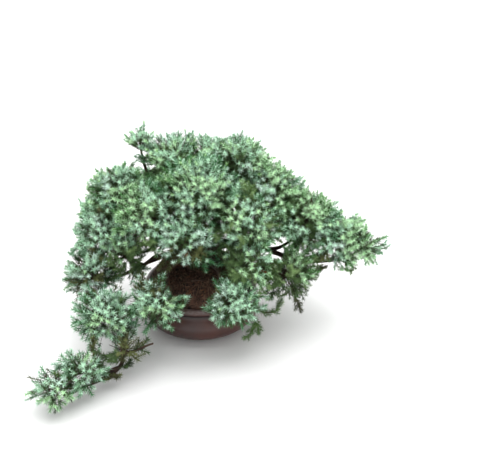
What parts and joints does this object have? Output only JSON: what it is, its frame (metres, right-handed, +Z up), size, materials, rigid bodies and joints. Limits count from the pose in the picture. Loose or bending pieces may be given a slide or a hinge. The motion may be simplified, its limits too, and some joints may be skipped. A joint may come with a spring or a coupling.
{
  "type": "japanese garden juniper in a round pot",
  "caption": "Low spreading conifer with a short trunk, boughs with masses of blue-green needles, one trailing over the rim, in a round brown stoneware pot with a peat mound.",
  "frame": {"origin": "centre of the pot's flat underside", "axes": "+Z up out of the pot; the plant's front faces -Y and its long arm points along +X"},
  "size_m": [0.3923, 0.3492, 0.2263],
  "materials": {
    "stoneware": "satin",
    "peat": "matte",
    "bark": "matte",
    "needles": "matte"
  },
  "bodies": {
    "root": {"pot": "stoneware", "soil_mound": "peat", "trunk": "bark", "bough_front_left": "bark", "bough_front_right_low": "bark", "bough_left_low": "bark", "bough_inner_left": "bark", "bough_right_low": "bark", "bough_right_back": "bark", "bough_left_back": "bark", "bough_right_tip": "bark", "bough_back_middle": "bark", "bough_left_middle": "bark", "bough_front_right": "bark", "bough_back_left": "bark", "bough_back_right": "bark", "bough_front_middle": "bark", "bough_shoulder_high": "bark", "bough_left_high": "bark", "bough_top_middle": "bark", "bough_top_left": "bark", "bough_top_right": "bark", "bough_spray_top_left": "bark", "bough_centre_left": "bark", "bough_centre_right": "bark", "bough_shoulder_low": "bark", "bough_right_outer": "bark", "bough_front_left_inner": "bark", "bough_trailing_tip": "bark", "bough_trailing_sparse": "bark", "bough_trailing_clump": "bark", "foliage_crown": "needles", "foliage_spray_top_left": "needles", "foliage_top_left": "needles", "foliage_top_middle": "needles", "foliage_top_right": "needles", "foliage_shoulder_high": "needles", "foliage_shoulder_low": "needles", "foliage_right_outer": "needles", "foliage_right_tip": "needles", "foliage_left_high": "needles", "foliage_left_middle": "needles", "foliage_left_low": "needles", "foliage_inner_left": "needles", "foliage_centre_left": "needles", "foliage_centre_right": "needles", "foliage_front_middle": "needles", "foliage_front_right": "needles", "foliage_front_right_low": "needles", "foliage_right_low": "needles", "foliage_front_left": "needles", "foliage_front_left_inner": "needles", "foliage_trailing_sparse": "needles", "foliage_trailing_clump": "needles", "foliage_trailing_tip": "needles", "foliage_back_left": "needles", "foliage_back_middle": "needles", "foliage_back_right": "needles", "foliage_left_back": "needles", "foliage_right_back": "needles"}
  },
  "joints": []
}
